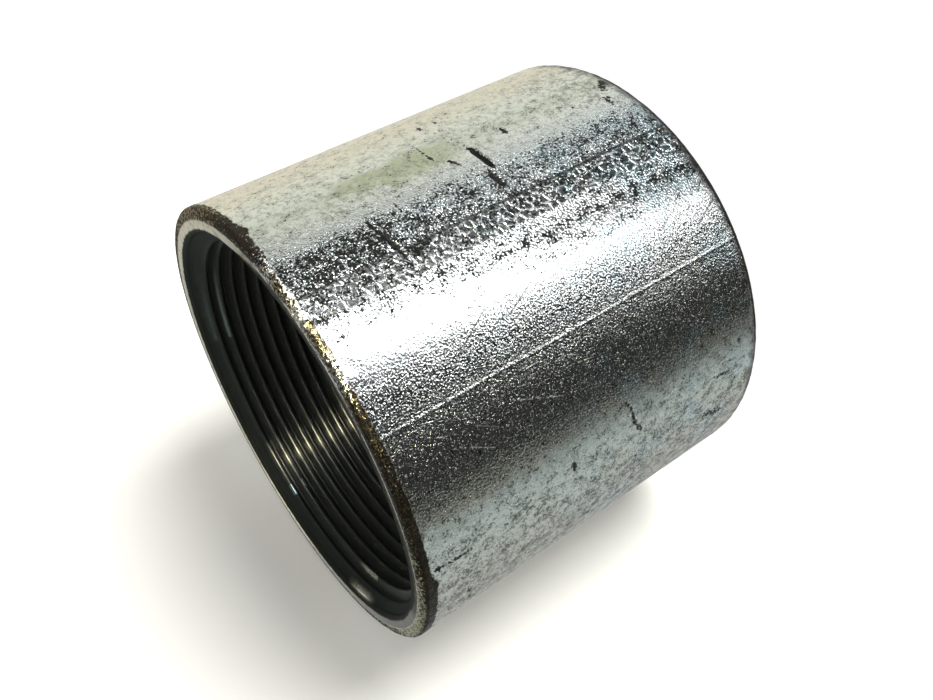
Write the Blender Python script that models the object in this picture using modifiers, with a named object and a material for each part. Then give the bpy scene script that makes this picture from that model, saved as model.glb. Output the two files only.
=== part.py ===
"""Straight threaded coupling for rigid steel conduit, standing on one end.

Metres, +Z up. The bore runs along Z, and the origin is the centre of the lower end face. The steel
sleeve is one piece: a turned outside with rounded ends, a rounded mouth and a short plain recess at
each end of the bore, a countersink, and one right-hand thread that runs from end to end.
"""

import math

import bmesh
import bpy

# Driving dimensions
LENGTH = 0.0900
WALL = 0.0065
PITCH_DIAMETER = 0.08607
THREAD_PITCH = 0.003175
FIRST_CREST_DEPTH = 0.00355
UPPER_EDGE_WIDTH = 0.0020
UPPER_EDGE_HEIGHT = 0.0012
LOWER_EDGE_WIDTH = 0.0030
LOWER_EDGE_HEIGHT = 0.0034
MOUTH_WIDTH = 0.0012
MOUTH_DEPTH = 0.0011
RECESS_CLEARANCE = 0.0003
RECESS_TAPER = 0.0006
RECESS_LENGTH = 0.0008
COUNTERSINK_ANGLE = math.radians(52.0)

# The form of the thread, as shares of its pitch: a 60 degree V with a small flat on its crest
THREAD_DEPTH_SHARE = 0.8
FLANK_ANGLE = math.radians(30.0)

# How finely the round shapes are divided
BODY_STEPS = 72
THREAD_STEPS = 36
EDGE_STEPS = 4

# The zinc coat
ZINC_COLOUR = (0.52, 0.54, 0.53, 1.0)
ZINC_ROUGHNESS = 0.32
ZINC_METALLIC = 1.0

# Derived sizes
THREAD_DEPTH = THREAD_DEPTH_SHARE * THREAD_PITCH
CREST_RADIUS = (PITCH_DIAMETER - THREAD_DEPTH) / 2.0
ROOT_RADIUS = CREST_RADIUS + THREAD_DEPTH
OUTER_RADIUS = ROOT_RADIUS + WALL
RECESS_INNER_RADIUS = ROOT_RADIUS + RECESS_CLEARANCE
RECESS_OUTER_RADIUS = RECESS_INNER_RADIUS + RECESS_TAPER

# A rounding takes at most this share of the wall left outside the recess
EDGE_SHARE = 0.55
MOUTH_SHARE = 0.34
END_WALL = OUTER_RADIUS - RECESS_OUTER_RADIUS

WELD_DISTANCE = 0.00001
SMOOTH_ANGLE = math.radians(35.0)


def clear_scene():
    """Removes every object, so that the file holds only the coupling."""
    for item in list(bpy.data.objects):
        bpy.data.objects.remove(item, do_unlink=True)


def new_collection(name):
    """A collection linked to the scene."""
    collection = bpy.data.collections.new(name)
    bpy.context.scene.collection.children.link(collection)
    return collection


def zinc_material():
    """The coupling's zinc coat."""
    material = bpy.data.materials.new("zinc_coat")
    material.use_nodes = True
    shader = material.node_tree.nodes["Principled BSDF"]
    shader.inputs["Base Color"].default_value = ZINC_COLOUR
    shader.inputs["Roughness"].default_value = ZINC_ROUGHNESS
    shader.inputs["Metallic"].default_value = ZINC_METALLIC
    material.diffuse_color = ZINC_COLOUR
    return material


def chain_object(name, points, collection):
    """An object whose mesh is a chain of edges in the XZ plane, from (radius, height) points."""
    mesh = bpy.data.meshes.new(name)
    corners = [(radius, 0.0, height) for radius, height in points]
    edges = [(i, i + 1) for i in range(len(points) - 1)]
    mesh.from_pydata(corners, edges, [])
    item = bpy.data.objects.new(name, mesh)
    collection.objects.link(item)
    return item


def turn(item, steps):
    """Turns an object's profile about Z into a closed solid: the profile starts and ends on the axis."""
    screw = item.modifiers.new("turn", "SCREW")
    screw.axis = "Z"
    screw.steps = steps
    screw.render_steps = steps
    screw.use_merge_vertices = True
    screw.merge_threshold = WELD_DISTANCE
    screw.use_smooth_shade = True
    return screw


def hide_cutter(item):
    """Keeps a cutter out of the render and shows it as wire."""
    item.hide_render = True
    item.display_type = "WIRE"


def rounded_corner(edge_radius, edge_height, width, height, start, end):
    """Points of a quarter ellipse from one angle to the other, about a corner of the section.

    The ellipse's centre is at (edge_radius, edge_height), and width and height are its half axes.
    """
    angles = [start + (end - start) * i / EDGE_STEPS for i in range(EDGE_STEPS + 1)]
    return [(edge_radius + width * math.cos(a), edge_height + height * math.sin(a)) for a in angles]


def outside_profile():
    """The outside of the sleeve from the upper end's centre to the lower end's centre."""
    upper = min(UPPER_EDGE_WIDTH, EDGE_SHARE * END_WALL)
    lower = min(LOWER_EDGE_WIDTH, EDGE_SHARE * END_WALL)
    top_corner = rounded_corner(
        OUTER_RADIUS - upper, LENGTH - UPPER_EDGE_HEIGHT, upper, UPPER_EDGE_HEIGHT, math.pi / 2.0, 0.0)
    low_corner = rounded_corner(
        OUTER_RADIUS - lower, LOWER_EDGE_HEIGHT, lower, LOWER_EDGE_HEIGHT, 0.0, -math.pi / 2.0)
    return [(0.0, LENGTH)] + top_corner + low_corner + [(0.0, 0.0)]


def mouth_profile():
    """The cutter for one end of the bore, seen from the lower end, listed from its top to its bottom.

    It holds the rounded mouth, the slightly tapered recess and the countersink, whose cone goes on
    past the thread's crest so that the cutter ends in the open bore.
    """
    mouth_width = min(MOUTH_WIDTH, MOUTH_SHARE * END_WALL)
    recess_end = MOUTH_DEPTH + RECESS_LENGTH
    past_crest = CREST_RADIUS - THREAD_DEPTH
    cone_length = (RECESS_INNER_RADIUS - past_crest) / math.tan(COUNTERSINK_ANGLE)
    mouth = rounded_corner(
        RECESS_OUTER_RADIUS + mouth_width, MOUTH_DEPTH, -mouth_width, MOUTH_DEPTH, 0.0, -math.pi / 2.0)
    below_face = -MOUTH_DEPTH
    top = recess_end + cone_length
    return (
        [(0.0, top), (past_crest, top), (RECESS_INNER_RADIUS, recess_end)]
        + mouth
        + [(mouth[-1][0], below_face), (0.0, below_face)])


def make_mouth(name, upper, collection):
    """One end's cutter: the upper one is the lower one turned over and lifted to the upper end."""
    cutter = chain_object(name, mouth_profile(), collection)
    turn(cutter, BODY_STEPS)
    if upper:
        cutter.rotation_euler = (math.pi, 0.0, 0.0)
        cutter.location = (0.0, 0.0, LENGTH)
    hide_cutter(cutter)
    return cutter


def make_tap(name, collection):
    """The thread's cutter: a one-pitch profile wound up the bore, closed by a cone at each end.

    The profile is the flat on the crest, then the two flanks. One turn lifts it by exactly one pitch,
    so each turn's end meets the next turn's start, and the weld joins them into one surface. On the +X
    side a crest lies at its set depth below the upper end. The winding starts below the lower end face
    and stops above the upper one.
    """
    crest_flat = THREAD_PITCH - 2.0 * THREAD_DEPTH * math.tan(FLANK_ANGLE)
    turns_below = math.ceil(LENGTH / THREAD_PITCH) + 1
    turns_above = math.ceil(FIRST_CREST_DEPTH / THREAD_PITCH) + 1
    start = LENGTH - FIRST_CREST_DEPTH - crest_flat / 2.0 - turns_below * THREAD_PITCH
    turns = turns_below + turns_above
    points = [
        (CREST_RADIUS, start + THREAD_PITCH),
        (ROOT_RADIUS, start + (THREAD_PITCH + crest_flat) / 2.0),
        (CREST_RADIUS, start + crest_flat),
        (CREST_RADIUS, start)]
    winding = chain_object(name + "_winding", points, collection)
    screw = winding.modifiers.new("wind", "SCREW")
    screw.axis = "Z"
    screw.steps = THREAD_STEPS
    screw.render_steps = THREAD_STEPS
    screw.iterations = turns
    screw.screw_offset = THREAD_PITCH
    weld = winding.modifiers.new("join_turns", "WELD")
    weld.merge_threshold = WELD_DISTANCE

    bpy.context.view_layer.update()
    shape = bpy.data.meshes.new_from_object(winding.evaluated_get(bpy.context.evaluated_depsgraph_get()))
    bpy.data.objects.remove(winding, do_unlink=True)
    close_winding(shape, start, start + (turns + 1) * THREAD_PITCH)
    tap = bpy.data.objects.new(name, shape)
    collection.objects.link(tap)
    hide_cutter(tap)
    return tap


def close_winding(shape, low, high):
    """Closes each open end of the winding with a fan of triangles to a point on the axis."""
    middle = (low + high) / 2.0
    form = bmesh.new()
    form.from_mesh(shape)
    tips = {
        False: form.verts.new((0.0, 0.0, low)),
        True: form.verts.new((0.0, 0.0, high))}
    for edge in [edge for edge in form.edges if edge.is_boundary]:
        first, second = edge.verts
        form.faces.new((first, second, tips[first.co.z > middle]))
    bmesh.ops.recalc_face_normals(form, faces=form.faces)
    if form.calc_volume(signed=True) < 0.0:
        bmesh.ops.reverse_faces(form, faces=form.faces)
    form.to_mesh(shape)
    form.free()


def finish_round(item):
    """Makes the modifiers' result the object's own mesh, smooth on its round faces and sharp at edges."""
    shape = bpy.data.meshes.new_from_object(item.evaluated_get(bpy.context.evaluated_depsgraph_get()))
    item.modifiers.clear()
    item.data = shape
    shape.name = item.name
    shape.shade_smooth()
    shape.set_sharp_from_angle(angle=SMOOTH_ANGLE)


def cut(item, name, cutter):
    """Takes a cutter's shape out of an object."""
    boolean = item.modifiers.new(name, "BOOLEAN")
    boolean.operation = "DIFFERENCE"
    boolean.solver = "EXACT"
    boolean.object = cutter


def main():
    """Builds the coupling."""
    clear_scene()
    parts = new_collection("conduit_coupling")
    cutters = new_collection("cutters")

    body = chain_object("coupling_body", outside_profile(), parts)
    turn(body, BODY_STEPS)
    cut(body, "lower_mouth", make_mouth("lower_mouth_cutter", False, cutters))
    cut(body, "upper_mouth", make_mouth("upper_mouth_cutter", True, cutters))
    cut(body, "thread", make_tap("thread_cutter", cutters))
    body.data.materials.append(zinc_material())
    bpy.context.view_layer.update()
    finish_round(body)


main()
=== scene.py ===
"""Looks of a zinc-coated conduit coupling that stands on one end.

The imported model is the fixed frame. One closed mesh stands for its only node: a turned outside with the marks that
forming, galvanising and handling left on it, machined end rings, and a bore with one right-hand thread wound on a
spiral grid. Lengths are in metres. An angle on the sleeve is zero where it faces the camera and grows towards +X,
and a depth is counted down from the upper end.
"""

import logging
import math
from dataclasses import dataclass
from enum import Enum
from functools import reduce
from typing import Callable, Dict, List, Optional, Sequence, Tuple, Union

import bpy
import numpy as np
from mathutils import Matrix, Vector


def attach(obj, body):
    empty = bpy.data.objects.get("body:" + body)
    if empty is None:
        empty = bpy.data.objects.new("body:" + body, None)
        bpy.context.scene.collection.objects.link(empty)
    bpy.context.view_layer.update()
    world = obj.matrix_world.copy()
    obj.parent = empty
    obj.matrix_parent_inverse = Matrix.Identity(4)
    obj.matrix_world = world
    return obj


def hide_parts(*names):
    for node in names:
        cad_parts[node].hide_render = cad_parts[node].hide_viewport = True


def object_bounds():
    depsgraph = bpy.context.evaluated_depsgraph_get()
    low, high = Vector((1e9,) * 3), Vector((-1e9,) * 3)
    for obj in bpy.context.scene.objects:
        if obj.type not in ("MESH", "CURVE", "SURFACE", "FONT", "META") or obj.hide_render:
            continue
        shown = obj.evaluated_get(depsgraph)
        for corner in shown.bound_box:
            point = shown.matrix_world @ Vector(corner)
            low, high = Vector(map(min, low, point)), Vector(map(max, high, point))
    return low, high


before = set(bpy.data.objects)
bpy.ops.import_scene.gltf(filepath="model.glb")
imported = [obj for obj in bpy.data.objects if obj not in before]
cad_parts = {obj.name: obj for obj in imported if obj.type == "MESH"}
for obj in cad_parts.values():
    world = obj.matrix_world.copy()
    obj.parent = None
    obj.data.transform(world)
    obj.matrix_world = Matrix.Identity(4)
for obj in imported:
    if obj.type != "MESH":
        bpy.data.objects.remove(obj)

LOG = logging.getLogger("coupling")
NODE = "coupling_body"
BODY = "root"
STAIN_FIELD = "stain"
MM = 0.001
DEGREES = 180.0 / math.pi
IMAGE_WIDTH = 933.0
CAD_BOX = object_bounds()

Number = Union[float, "Value"]
Pair = Tuple[float, float]
Colour = Tuple[float, float, float]
Stops = Tuple[Tuple[float, Union[float, Colour]], ...]
WHITE: Colour = (1.0, 1.0, 1.0)


class Slot(Enum):
    """The material slots of the sleeve's mesh."""

    ZINC = 0
    MACHINED = 1


@dataclass(frozen=True)
class Pattern:
    """A noise: its largest features' size in metres, its finer layers, how strong each is, and its twist."""

    size: float
    detail: float = 2.0
    rough: float = 0.5
    bend: float = 0.0


def join(operation: str) -> Callable[..., "Value"]:
    """Makes one of the Value class's operators.

    Args:
        operation: the operation of its Math node.

    Returns:
        A method that adds the node, with the value itself as its first input.
    """
    def method(self: "Value", *others: Number) -> "Value":
        """Adds the operator's Math node."""
        return self.graph.math(operation, self, *others)
    return method


class Value:
    """One output socket, so that shader maths is written as plain arithmetic."""

    def __init__(self, graph: "Graph", socket: bpy.types.NodeSocket) -> None:
        """Wraps a socket.

        Args:
            graph: the graph that the socket belongs to.
            socket: the output socket.
        """
        self.graph = graph
        self.socket = socket

    __add__ = __radd__ = join("ADD")
    __sub__ = join("SUBTRACT")
    __mul__ = __rmul__ = join("MULTIPLY")
    __truediv__ = join("DIVIDE")
    __pow__ = join("POWER")
    __abs__ = join("ABSOLUTE")
    at_most = join("MINIMUM")

    def __rsub__(self, other: Number) -> "Value":
        """The difference, with this value taken away."""
        return self.graph.math("SUBTRACT", other, self)

    def at_least(self, *others: Number) -> "Value":
        """The greatest of this value and the others."""
        return reduce(lambda total, other: self.graph.math("MAXIMUM", total, other), others, self)

    def rise(self, low: float, high: float) -> "Value":
        """A smooth step.

        Args:
            low: where the step starts, at 0. It may lie above high, and then the step falls.
            high: where it ends, at 1.

        Returns:
            The step's value, from 0 to 1.
        """
        return self.graph.step(self, low, high, 1.0)

    def near(self, centre: float, half_width: float, soft: float) -> "Value":
        """A smooth bump: 1 within half_width of the centre, and 0 past half_width plus soft."""
        return abs(self - centre).rise(half_width + soft, half_width)


class Graph:
    """Builds one material's or the world's node tree."""

    def __init__(self, tree: bpy.types.NodeTree) -> None:
        """Empties a tree.

        Args:
            tree: the node tree to fill.
        """
        self.tree = tree
        tree.nodes.clear()

    def node(
        self,
        kind: str,
        settings: Optional[Dict[str, object]] = None,
        inputs: Optional[Dict[Union[str, int], object]] = None,
    ) -> bpy.types.Node:
        """Adds a node.

        Args:
            kind: the node's type.
            settings: attributes that are set first. Under the name stops, a ramp's (place, colour) pairs.
            inputs: values or links for sockets, by name or by number.

        Returns:
            The node.
        """
        node = self.tree.nodes.new(kind)
        for name, setting in (settings or {}).items():
            if name == "stops":
                self._set_stops(node.color_ramp, setting)
            else:
                setattr(node, name, setting)
        for key, value in (inputs or {}).items():
            self._feed(node.inputs[key], value)
        return node

    def _set_stops(self, ramp: bpy.types.ColorRamp, stops: Stops) -> None:
        """Gives a ramp its stops.

        Args:
            ramp: the ramp.
            stops: (place, shade) pairs. A bare number stands for a grey.
        """
        while len(ramp.elements) < len(stops):
            ramp.elements.new(1.0)
        for element, (place, shade) in zip(ramp.elements, stops):
            element.position = place
            element.color = (*(shade if isinstance(shade, tuple) else (shade,) * 3), 1.0)

    def _feed(self, socket: bpy.types.NodeSocket, value: object) -> None:
        """Links or sets one input socket.

        Args:
            socket: the input socket.
            value: a value or socket to link, or a number, a vector or a colour to set.
        """
        source = value.socket if isinstance(value, Value) else value
        if isinstance(source, bpy.types.NodeSocket):
            self.tree.links.new(source, socket)
        elif socket.type == "RGBA":
            socket.default_value = (*source, 1.0)
        else:
            socket.default_value = source

    def out(self, node: bpy.types.Node, name: Union[str, int] = 0) -> Value:
        """An output of a node as a value."""
        return Value(self, node.outputs[name])

    def math(self, operation: str, *values: Number) -> Value:
        """Adds a Math node."""
        return self.out(self.node("ShaderNodeMath", {"operation": operation}, dict(enumerate(values))))

    def vector(self, operation: str, *values: object) -> bpy.types.Node:
        """Adds a Vector Math node."""
        return self.node("ShaderNodeVectorMath", {"operation": operation}, dict(enumerate(values)))

    def step(self, value: object, low: float, high: float, top: float) -> Value:
        """Adds a smooth step of a value from 0 at low to top at high."""
        return self.out(self.node("ShaderNodeMapRange", {"interpolation_type": "SMOOTHSTEP"}, {
            "Value": value, "From Min": low, "From Max": high, "To Max": top}))

    def mix(self, factor: Number, first: object, second: object) -> Value:
        """Mixes two colours, each a colour or a link: a factor of 0 gives the first, and 1 the second."""
        return self.out(self.node(
            "ShaderNodeMix", {"data_type": "RGBA", "clamp_factor": True}, {0: factor, 6: first, 7: second}), 2)

    def noise(self, place: object, pattern: Pattern, output: str = "Fac") -> Value:
        """Adds a noise from about 0 to 1.

        Args:
            place: the coordinates.
            pattern: the noise's kind.
            output: Fac for one number, Color for three.

        Returns:
            The noise.
        """
        return self.out(self.node("ShaderNodeTexNoise", {"noise_dimensions": "3D"}, {
            "Vector": place, "Scale": 1.0 / pattern.size, "Detail": pattern.detail, "Roughness": pattern.rough,
            "Distortion": pattern.bend}), output)

    def round_place(self, point: bpy.types.NodeSocket) -> Tuple[Value, Value, Value]:
        """Where a point lies about the Z axis.

        Args:
            point: its coordinates.

        Returns:
            Its angle in degrees from -Y towards +X, its distance from the axis and its height.
        """
        axes = self.node("ShaderNodeSeparateXYZ", {}, {0: point})
        across, ahead, height = (self.out(axes, number) for number in range(3))
        angle = self.math("ARCTAN2", across, ahead * -1.0) * DEGREES
        return angle, (across * across + ahead * ahead) ** 0.5, height

    def round_ramp(self, stops: Stops, angle: Value) -> Value:
        """A grey or colour that changes with an angle, from (degrees, shade) pairs between -180 and 180."""
        places = [((degrees + 180.0) / 360.0, shade) for degrees, shade in stops]
        return self.out(self.node("ShaderNodeValToRGB", {"stops": places}, {0: angle / 360.0 + 0.5}))

    def bump(self, height: Value) -> Value:
        """The normal of a surface raised by a height in millimetres."""
        return self.out(self.node("ShaderNodeBump", {}, {"Strength": 1.0, "Distance": MM, "Height": height}))

    def blend(self, factor: Number, first: bpy.types.Node, second: bpy.types.Node) -> bpy.types.Node:
        """Mixes two shaders: a factor of 0 gives the first, and 1 the second."""
        return self.node("ShaderNodeMixShader", {}, {0: factor, 1: first.outputs[0], 2: second.outputs[0]})

    def surface(self, shader: bpy.types.Node) -> None:
        """Makes a shader the material's surface."""
        self.node("ShaderNodeOutputMaterial", {}, {"Surface": shader.outputs[0]})


def new_material(name: str) -> Tuple[bpy.types.Material, Graph]:
    """Makes a material.

    Args:
        name: its name.

    Returns:
        The material and its empty graph.
    """
    material = bpy.data.materials.new(name)
    material.use_nodes = True
    return material, Graph(material.node_tree)


def new_object(name: str, data: bpy.types.ID) -> bpy.types.Object:
    """Makes an object at the origin and links it to the scene.

    Args:
        name: its name.
        data: its mesh, light or camera.

    Returns:
        The object.
    """
    item = bpy.data.objects.new(name, data)
    bpy.context.scene.collection.objects.link(item)
    return item


def turned(radius: np.ndarray, angle: np.ndarray, height: np.ndarray) -> np.ndarray:
    """Points round the Z axis: (radius times sin angle, minus radius times cos angle, height)."""
    sides = np.broadcast_arrays(radius * np.sin(angle), -radius * np.cos(angle), height)
    return np.stack(sides, axis=-1)


def ring_quads(ids: np.ndarray) -> np.ndarray:
    """Quads between neighbouring rows of a grid that closes round the axis.

    Args:
        ids: vertex numbers, rows by columns. Going up the rows on the outside, the faces point out.

    Returns:
        An array of faces by 4.
    """
    right = np.roll(ids, -1, axis=1)
    return np.stack([ids[:-1], right[:-1], right[1:], ids[1:]], axis=-1).reshape(-1, 4)


def gradient_noise(points: np.ndarray, size: float, seed: int) -> np.ndarray:
    """Smooth noise from about -1 to 1.

    Each corner of the cubic cell round a point has a direction of its own, picked by mixing the corner's whole
    coordinates into one number. The dot products of those directions with the offsets from the corners are blended
    along each axis by the curve 6t^5 - 15t^4 + 10t^3.

    Args:
        points: an array of points, with the coordinates along its last axis.
        size: the cells' size in metres.
        seed: picks another pattern.

    Returns:
        One value for each point.
    """
    full_range = 1.6
    place = points / size
    cell = np.floor(place).astype(np.int64)
    inside = place - cell
    fade = inside ** 3 * (inside * (inside * 6.0 - 15.0) + 10.0)
    total = np.zeros(points.shape[:-1])
    for corner in np.ndindex(2, 2, 2):
        offset = np.array(corner)
        lattice = cell + offset
        mixed = lattice[..., 0] * 73856093 ^ lattice[..., 1] * 19349663 ^ lattice[..., 2] * 83492791 ^ seed * 2654435
        mixed = (mixed ^ (mixed >> 13)) * 1274126177 & 0xFFFFFFFF
        turn = (mixed & 0xFFFF) / 65536.0 * 2.0 * np.pi
        lift = ((mixed >> 16) & 0xFFFF) / 32768.0 - 1.0
        flat = np.sqrt(np.maximum(1.0 - lift ** 2, 0.0))
        direction = np.stack([flat * np.cos(turn), flat * np.sin(turn), lift], axis=-1)
        weight = np.prod(np.where(offset == 1, fade, 1.0 - fade), axis=-1)
        total += weight * (direction * (inside - offset)).sum(axis=-1)
    return total * full_range


def smooth_step(value: np.ndarray, low: float, high: float) -> np.ndarray:
    """A smooth step of an array, 0 at low and 1 at high: 3t^2 - 2t^3."""
    part = np.clip((value - low) / (high - low), 0.0, 1.0)
    return part * part * (3.0 - 2.0 * part)


def dense_steps(low: float, high: float, count: int, spots: Sequence[Tuple[float, float, float]]) -> np.ndarray:
    """Steps along a line, crowded together at some places.

    The density of steps is 1 plus, for each spot, its strength times a bell curve of its width. The steps are the
    places where the running total of the density reaches equal shares of the whole.

    Args:
        low: the first step.
        high: the end of the line.
        count: how many spans there are.
        spots: (place, width, strength) of each crowding.

    Returns:
        count + 1 places from low to high.
    """
    samples = 20001
    fine = np.linspace(low, high, samples)
    density = np.ones_like(fine)
    for place, width, strength in spots:
        density += strength * np.exp(-((fine - place) / width) ** 2)
    total = np.concatenate([[0.0], np.cumsum((density[1:] + density[:-1]) / 2.0)])
    return np.interp(np.linspace(0.0, total[-1], count + 1), total, fine)


@dataclass
class Form:
    """The sleeve's section, with the sizes of the frame and of the part's source."""

    outer_radius: float
    length: float
    pitch: float = 3.175 * MM
    first_crest_depth: float = 3.55 * MM
    crest_radius: float = 41.765 * MM
    thread_depth: float = 2.54 * MM
    recess_inner_radius: float = 44.605 * MM
    recess_outer_radius: float = 45.205 * MM
    recess_length: float = 0.8 * MM
    mouth_width: float = 1.2 * MM
    mouth_depth: float = 1.1 * MM
    countersink_angle: float = math.radians(52.0)
    upper_edge: Pair = (2.0 * MM, 1.2 * MM)
    lower_edge: Pair = (3.0 * MM, 3.4 * MM)
    tip_sharpness: float = 0.9

    def wall_scale(self) -> float:
        """Millimetres of the wall in a degree."""
        return math.radians(self.outer_radius) / MM

    def bore_radius(self, depth: np.ndarray, phase: np.ndarray) -> np.ndarray:
        """The bore's radius at depths below either end.

        It is the greater of the plain bore and the thread. The plain bore is the recess's cone, then the steeper one
        of the countersink. The thread swings between crest and root as a triangle wave of the phase with rounded tips:
        the angle whose sine is the sharpness times the cosine of the phase angle, scaled to run from 0 at a crest to 1.

        Args:
            depth: distance from the nearer end.
            phase: height above a crest in pitches.

        Returns:
            The radius at each point.
        """
        recess = self.recess_outer_radius - (self.recess_outer_radius - self.recess_inner_radius) * (
            np.clip((depth - self.mouth_depth) / self.recess_length, 0.0, 1.0))
        into_cone = np.maximum(depth - self.mouth_depth - self.recess_length, 0.0)
        plain = recess - into_cone * math.tan(self.countersink_angle)
        wave = np.arcsin(self.tip_sharpness * np.cos(2.0 * np.pi * phase)) / math.asin(self.tip_sharpness)
        thread = self.crest_radius + self.thread_depth * (0.5 - 0.5 * wave)
        return np.maximum(plain, thread)


@dataclass(frozen=True)
class Ripple:
    """A smooth unevenness of the outside."""

    height: float
    size: float
    seed: int

    def at(self, points: np.ndarray) -> np.ndarray:
        """Its lift at each point, up to about its height either way."""
        return self.height * gradient_noise(points, self.size, self.seed)


@dataclass(frozen=True)
class Mark:
    """A stain, scratch or worn patch: a line between two places, each (degrees, millimetres of depth)."""

    start: Pair
    end: Pair
    half_width: float
    strength: float = 1.0
    soft: float = 0.25

    def mask(self, graph: Graph, place: object, scale: float) -> Value:
        """Builds the mark's mask.

        The distance to the line is that to the point on it which lies nearest: the share of the way along it,
        clamped to its ends, times the line's own run.

        Args:
            graph: the material's graph.
            place: the unrolled wall in millimetres.
            scale: millimetres of wall in a degree.

        Returns:
            The strength on the line, falling to 0 past its half width.
        """
        start = (self.start[0] * scale, self.start[1], 0.0)
        run = (self.end[0] * scale - start[0], self.end[1] - start[1], 0.0)
        length = math.hypot(*run)
        offset = graph.vector("SUBTRACT", place, start).outputs[0]
        nearest: object = (0.0, 0.0, 0.0)
        if length > 0.0:
            along = graph.vector("DOT_PRODUCT", offset, tuple(part / length ** 2 for part in run))
            share = graph.node(
                "ShaderNodeMath", {"operation": "ADD", "use_clamp": True}, {0: along.outputs["Value"], 1: 0.0})
            nearest = graph.node(
                "ShaderNodeVectorMath", {"operation": "SCALE"}, {0: run, "Scale": share.outputs[0]}).outputs[0]
        gap = graph.vector("DISTANCE", offset, nearest).outputs["Value"]
        return graph.step(
            gap, self.half_width + self.soft, max(self.half_width - self.soft, 0.0), self.strength)


def spot(angle: float, depth: float, half_width: float, strength: float = 1.0, soft: float = 0.25) -> Mark:
    """A round mark."""
    return Mark((angle, depth), (angle, depth), half_width, strength, soft)


STAINS: Tuple[Mark, ...] = (
    Mark((38.2, 49.0), (30.7, 49.4), 0.60), Mark((44.8, 48.3), (38.2, 48.9), 0.30, 0.7),
    Mark((28.6, 47.8), (25.1, 48.0), 0.75, 0.9, 0.4), Mark((25.1, 48.2), (20.6, 48.8), 0.40, 0.7, 0.4),
    Mark((30.0, 20.9), (22.1, 22.3), 0.42), Mark((22.1, 22.3), (14.7, 22.7), 0.38, 0.8),
    spot(47.9, 40.9, 0.38), spot(46.7, 41.3, 0.30, 0.8), spot(45.5, 40.9, 0.34), spot(44.1, 41.1, 0.40),
    Mark((42.1, 41.0), (40.3, 41.0), 0.32), Mark((37.4, 43.3), (35.4, 44.2), 0.40),
    Mark((60.9, 47.1), (56.3, 47.3), 0.55, 0.5, 0.5), Mark((55.5, 46.9), (54.3, 46.7), 0.55, 0.9),
    Mark((70.5, 47.9), (66.4, 47.1), 0.45, 0.55, 0.4), spot(54.9, 50.6, 0.50, 0.9), spot(56.5, 50.4, 0.4, 0.5),
    spot(55.1, 53.8, 0.40), spot(52.7, 54.4, 0.34, 0.8), spot(50.3, 54.6, 0.38, 0.8), spot(55.5, 52.3, 0.30, 0.6),
    Mark((40.4, 58.4), (38.6, 58.0), 0.50), spot(39.8, 61.9, 0.3, 0.6), spot(48.1, 67.4, 0.3, 0.6),
    Mark((55.8, 72.9), (53.9, 73.5), 0.45, 0.6, 0.4), Mark((57.8, 76.8), (54.8, 76.0), 0.45, 0.7, 0.4),
    Mark((52.3, 74.7), (50.5, 73.7), 0.40, 0.6, 0.4), spot(38.8, 72.4, 0.5, 0.9), spot(37.4, 74.8, 0.5, 0.9),
    Mark((35.8, 82.9), (33.2, 82.2), 0.65, 0.8, 0.4), Mark((41.7, 86.4), (38.8, 84.4), 0.80, 0.9, 0.4),
    Mark((63.2, 21.0), (60.8, 20.6), 0.55, 0.5, 0.5), spot(60.8, 8.6, 0.45, 0.5), spot(52.8, 7.8, 0.35, 0.6),
    spot(51.1, 8.8, 0.3, 0.6), spot(48.3, 7.0, 0.3, 0.5), spot(30.0, 71.9, 0.3, 0.8), spot(37.1, 81.1, 0.4, 0.7),
    Mark((-15.8, 61.7), (-20.2, 62.2), 0.22, 0.8), Mark((-38.6, 36.1), (-39.8, 36.4), 0.55),
    Mark((-31.3, 50.6), (-34.3, 51.9), 0.30), Mark((-34.3, 51.9), (-38.3, 52.3), 0.36),
    Mark((-38.3, 52.3), (-41.5, 54.1), 0.40, 0.9), spot(-49.2, 52.8, 0.7, 0.8, 0.5),
    Mark((-51.5, 73.8), (-54.0, 78.9), 1.3, 0.7, 0.9), spot(-49.4, 64.1, 1.0, 0.6, 0.6),
    spot(-50.1, 43.4, 1.0, 0.6, 0.6), spot(-61.4, 36.4, 0.8, 0.6, 0.6), spot(-61.8, 41.6, 1.0, 0.8, 0.6),
    spot(-61.7, 50.1, 1.1, 0.7, 0.7), spot(-61.5, 58.0, 1.1, 0.6, 0.7), spot(-42.8, 3.6, 0.75, 1.0),
    Mark((-43.2, 5.9), (-43.4, 11.1), 0.42, 0.9), Mark((-58.0, 10.2), (-66.5, 11.3), 0.40, 0.9),
    Mark((-66.2, 18.3), (-73.1, 20.1), 0.9, 0.6, 0.7), Mark((-40.0, 74.7), (-41.0, 79.5), 0.42, 0.9),
    spot(-33.7, 82.5, 0.6, 0.9), spot(-44.6, 81.7, 0.6, 0.8), spot(-35.9, 46.4, 0.3, 0.6),
    spot(-34.4, 36.9, 0.3, 0.7), spot(-36.5, 37.3, 0.35, 0.7))

BRIGHT_SCRATCHES: Tuple[Mark, ...] = (
    Mark((-14.9, 10.8), (-16.5, 14.9), 0.12, 0.8, 0.16), Mark((-16.9, 18.6), (-20.3, 23.4), 0.12, 0.6, 0.16),
    Mark((-18.7, 13.5), (-23.1, 20.4), 0.12, 0.9, 0.16), Mark((-16.1, 26.5), (-21.5, 37.6), 0.13, 0.9, 0.18),
    Mark((-13.4, 39.6), (-15.3, 43.9), 0.12, 0.7, 0.16), Mark((-16.5, 42.5), (-17.0, 45.5), 0.14, 0.9, 0.2),
    Mark((-21.6, 54.0), (-24.0, 58.1), 0.12, 0.5, 0.2), Mark((-20.3, 2.0), (-22.9, 5.8), 0.12, 0.5, 0.2),
    Mark((-20.0, 69.0), (-23.0, 76.7), 0.14, 0.45, 0.25), Mark((-4.6, 20.4), (-1.6, 16.3), 0.12, 0.5, 0.2))

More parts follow.
